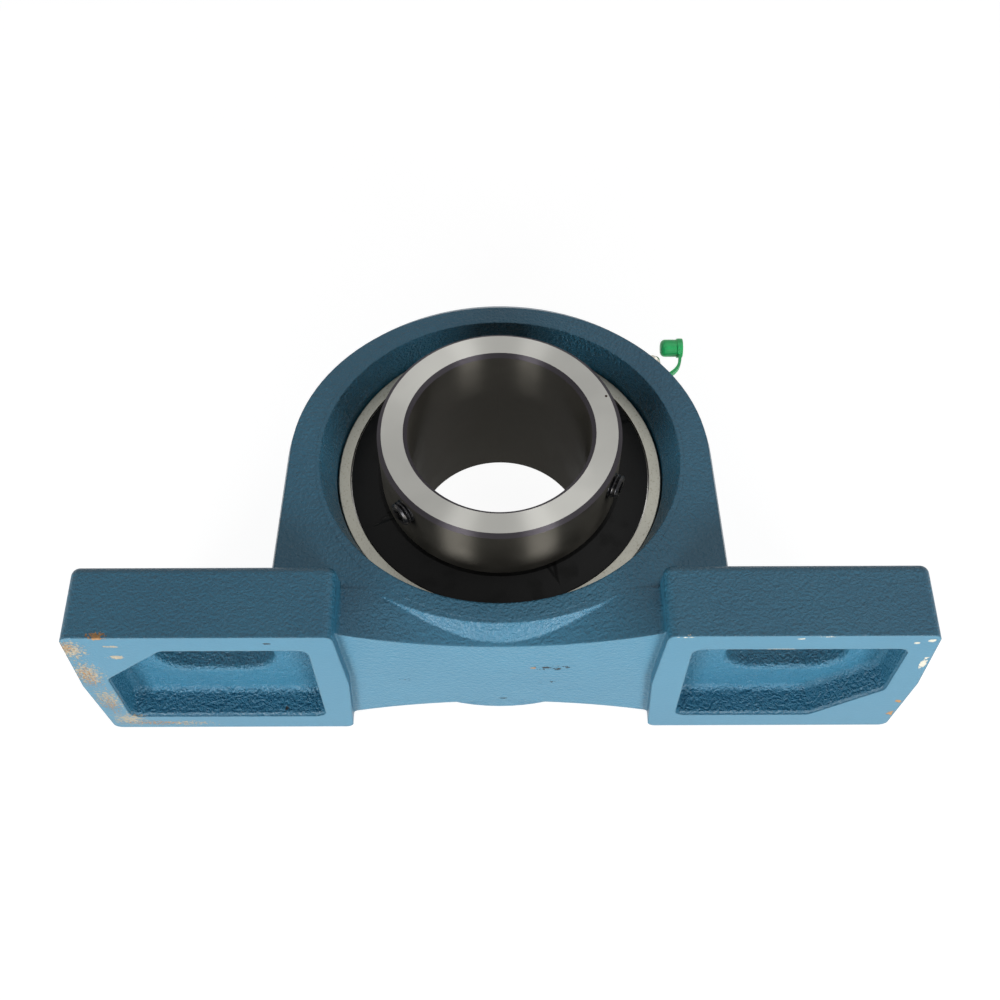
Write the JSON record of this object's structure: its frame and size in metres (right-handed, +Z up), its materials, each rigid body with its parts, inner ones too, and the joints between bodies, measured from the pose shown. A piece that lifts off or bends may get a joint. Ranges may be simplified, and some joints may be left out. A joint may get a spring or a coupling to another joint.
{
  "type": "pillow block bearing",
  "caption": "Foot-mounted cast bearing housing with a self-aligning ball bearing insert, set screw collar, seals and a capped grease nipple.",
  "frame": {"origin": "centre of the base on the mounting plane, midway between the bolt slots, below the shaft axis", "axes": "+X along the base, -Y along the shaft towards the collar with the set screws, +Z up from the mounting plane"},
  "size_m": [0.3326, 0.0933, 0.1734],
  "materials": {
    "housing_paint": "rough sand cast under satin blue-grey enamel",
    "outer_ring_steel": "satin ground",
    "inner_ring_steel": "ground face, polished bore and collar",
    "slinger_black": "satin black",
    "seal_plate_steel": "zinc plated",
    "seal_rubber": "matte",
    "cage_steel": "pressed, oiled",
    "ball_steel": "mirror polished",
    "screw_steel": "black oxide",
    "nipple_zinc": "bright zinc plated",
    "cap_green": "semi-gloss green plastic"
  },
  "bodies": {
    "housing": {"housing": "housing_paint", "grease_nipple": "nipple_zinc", "nipple_spring": "cage_steel"},
    "insert_outer": {"outer_ring": "outer_ring_steel", "seal_plate_front": "seal_plate_steel", "seal_plate_rear": "seal_plate_steel", "seal_lip_front": "seal_rubber", "seal_lip_rear": "seal_rubber"},
    "insert_inner": {"inner_ring": "inner_ring_steel", "slinger_front": "slinger_black", "slinger_rear": "slinger_black"},
    "cage": {"cage_front": "cage_steel", "cage_rear": "cage_steel", "cage_rivets": "cage_steel"},
    "ball_01_body": {"ball_01": "ball_steel"},
    "ball_02_body": {"ball_02": "ball_steel"},
    "ball_03_body": {"ball_03": "ball_steel"},
    "ball_04_body": {"ball_04": "ball_steel"},
    "ball_05_body": {"ball_05": "ball_steel"},
    "ball_06_body": {"ball_06": "ball_steel"},
    "ball_07_body": {"ball_07": "ball_steel"},
    "ball_08_body": {"ball_08": "ball_steel"},
    "ball_09_body": {"ball_09": "ball_steel"},
    "ball_10_body": {"ball_10": "ball_steel"},
    "screw_left": {"set_screw_left": "screw_steel"},
    "screw_right": {"set_screw_right": "screw_steel"},
    "check_ball": {"nipple_check_ball": "ball_steel"},
    "cap": {"grease_cap": "cap_green"}
  },
  "joints": [
    {"name": "insert_swivel", "type": "hinge", "parent": "housing", "child": "insert_outer", "pos_m": [0, 0, 0.0889], "axis": [0, 0, 1], "range_deg": [-2, 2]},
    {"name": "shaft_spin", "type": "hinge", "parent": "insert_outer", "child": "insert_inner", "pos_m": [0, 0, 0.0889], "axis": [0, 1, 0], "continuous": true},
    {"name": "cage_spin", "type": "hinge", "parent": "insert_outer", "child": "cage", "pos_m": [0, 0, 0.0889], "axis": [0, 1, 0], "continuous": true},
    {"name": "ball_01_roll", "type": "hinge", "parent": "cage", "child": "ball_01_body", "pos_m": [0.055, 0, 0.0889], "axis": [0, 1, 0], "continuous": true},
    {"name": "ball_02_roll", "type": "hinge", "parent": "cage", "child": "ball_02_body", "pos_m": [0.0445, 0, 0.12123], "axis": [0, 1, 0], "continuous": true},
    {"name": "ball_03_roll", "type": "hinge", "parent": "cage", "child": "ball_03_body", "pos_m": [0.017, 0, 0.14121], "axis": [0, 1, 0], "continuous": true},
    {"name": "ball_04_roll", "type": "hinge", "parent": "cage", "child": "ball_04_body", "pos_m": [-0.017, 0, 0.14121], "axis": [0, 1, 0], "continuous": true},
    {"name": "ball_05_roll", "type": "hinge", "parent": "cage", "child": "ball_05_body", "pos_m": [-0.0445, 0, 0.12123], "axis": [0, 1, 0], "continuous": true},
    {"name": "ball_06_roll", "type": "hinge", "parent": "cage", "child": "ball_06_body", "pos_m": [-0.055, 0, 0.0889], "axis": [0, 1, 0], "continuous": true},
    {"name": "ball_07_roll", "type": "hinge", "parent": "cage", "child": "ball_07_body", "pos_m": [-0.0445, 0, 0.05657], "axis": [0, 1, 0], "continuous": true},
    {"name": "ball_08_roll", "type": "hinge", "parent": "cage", "child": "ball_08_body", "pos_m": [-0.017, 0, 0.03659], "axis": [0, 1, 0], "continuous": true},
    {"name": "ball_09_roll", "type": "hinge", "parent": "cage", "child": "ball_09_body", "pos_m": [0.017, 0, 0.03659], "axis": [0, 1, 0], "continuous": true},
    {"name": "ball_10_roll", "type": "hinge", "parent": "cage", "child": "ball_10_body", "pos_m": [0.0445, 0, 0.05657], "axis": [0, 1, 0], "continuous": true},
    {"name": "screw_left_drive", "type": "slide", "parent": "insert_inner", "child": "screw_left", "axis": [-0.7524, 0, -0.6587], "range_m": [-0.0036, 0.002]},
    {"name": "screw_right_drive", "type": "slide", "parent": "insert_inner", "child": "screw_right", "axis": [0.9063, 0, -0.4226], "range_m": [-0.0036, 0.002]},
    {"name": "check_ball_lift", "type": "slide", "parent": "housing", "child": "check_ball", "axis": [-0.7071, 0, -0.7071], "range_m": [0, 0.0006]},
    {"name": "cap_swing", "type": "hinge", "parent": "housing", "child": "cap", "pos_m": [0.06523, 0, 0.15413], "axis": [0.7071, 0, 0.7071], "continuous": true}
  ],
  "couplings": [
    {"joint": "cage_spin", "follows": "shaft_spin", "ratio": 0.41341},
    {"joint": "ball_01_roll", "follows": "shaft_spin", "ratio": -2.8005},
    {"joint": "ball_02_roll", "follows": "shaft_spin", "ratio": -2.8005},
    {"joint": "ball_03_roll", "follows": "shaft_spin", "ratio": -2.8005},
    {"joint": "ball_04_roll", "follows": "shaft_spin", "ratio": -2.8005},
    {"joint": "ball_05_roll", "follows": "shaft_spin", "ratio": -2.8005},
    {"joint": "ball_06_roll", "follows": "shaft_spin", "ratio": -2.8005},
    {"joint": "ball_07_roll", "follows": "shaft_spin", "ratio": -2.8005},
    {"joint": "ball_08_roll", "follows": "shaft_spin", "ratio": -2.8005},
    {"joint": "ball_09_roll", "follows": "shaft_spin", "ratio": -2.8005},
    {"joint": "ball_10_roll", "follows": "shaft_spin", "ratio": -2.8005}
  ]
}
